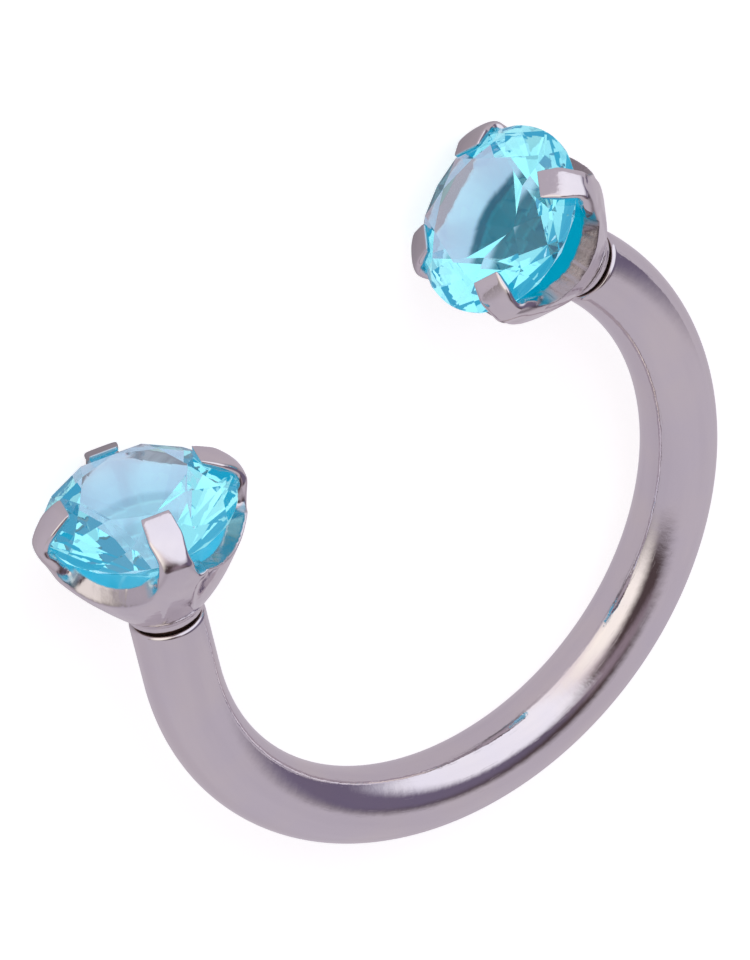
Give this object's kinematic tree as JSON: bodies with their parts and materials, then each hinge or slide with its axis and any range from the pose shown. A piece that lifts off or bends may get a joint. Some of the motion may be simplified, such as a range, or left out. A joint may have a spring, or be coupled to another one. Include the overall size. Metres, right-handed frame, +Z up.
{
  "type": "horseshoe barbell",
  "caption": "Horseshoe shaped steel barbell for a piercing, with a round aqua stone in a claw setting screwed onto each end, lying on its side.",
  "frame": {"origin": "on the surface that the barbell lies on, under the middle of its box", "axes": "+Z up, +Y from the middle of the bend towards the open side, +X towards the right head"},
  "size_m": [0.0108, 0.0102, 0.0035],
  "materials": {
    "polished_steel": "polished, with slightly rougher cut faces on the claws",
    "aqua_stone": "polished facets, transparent aqua blue"
  },
  "bodies": {
    "bar": {"bar": "polished_steel"},
    "left_head": {"setting_left": "polished_steel", "gem_left": "aqua_stone"},
    "right_head": {"setting_right": "polished_steel", "gem_right": "aqua_stone"}
  },
  "joints": [
    {"name": "left_head_unscrew", "type": "slide", "parent": "bar", "child": "left_head", "axis": [0.2267, 0.9684, 0.1043], "range_m": [0, 0.0012]},
    {"name": "right_head_unscrew", "type": "slide", "parent": "bar", "child": "right_head", "axis": [-0.4175, 0.9011, 0.1171], "range_m": [0, 0.0012]}
  ]
}
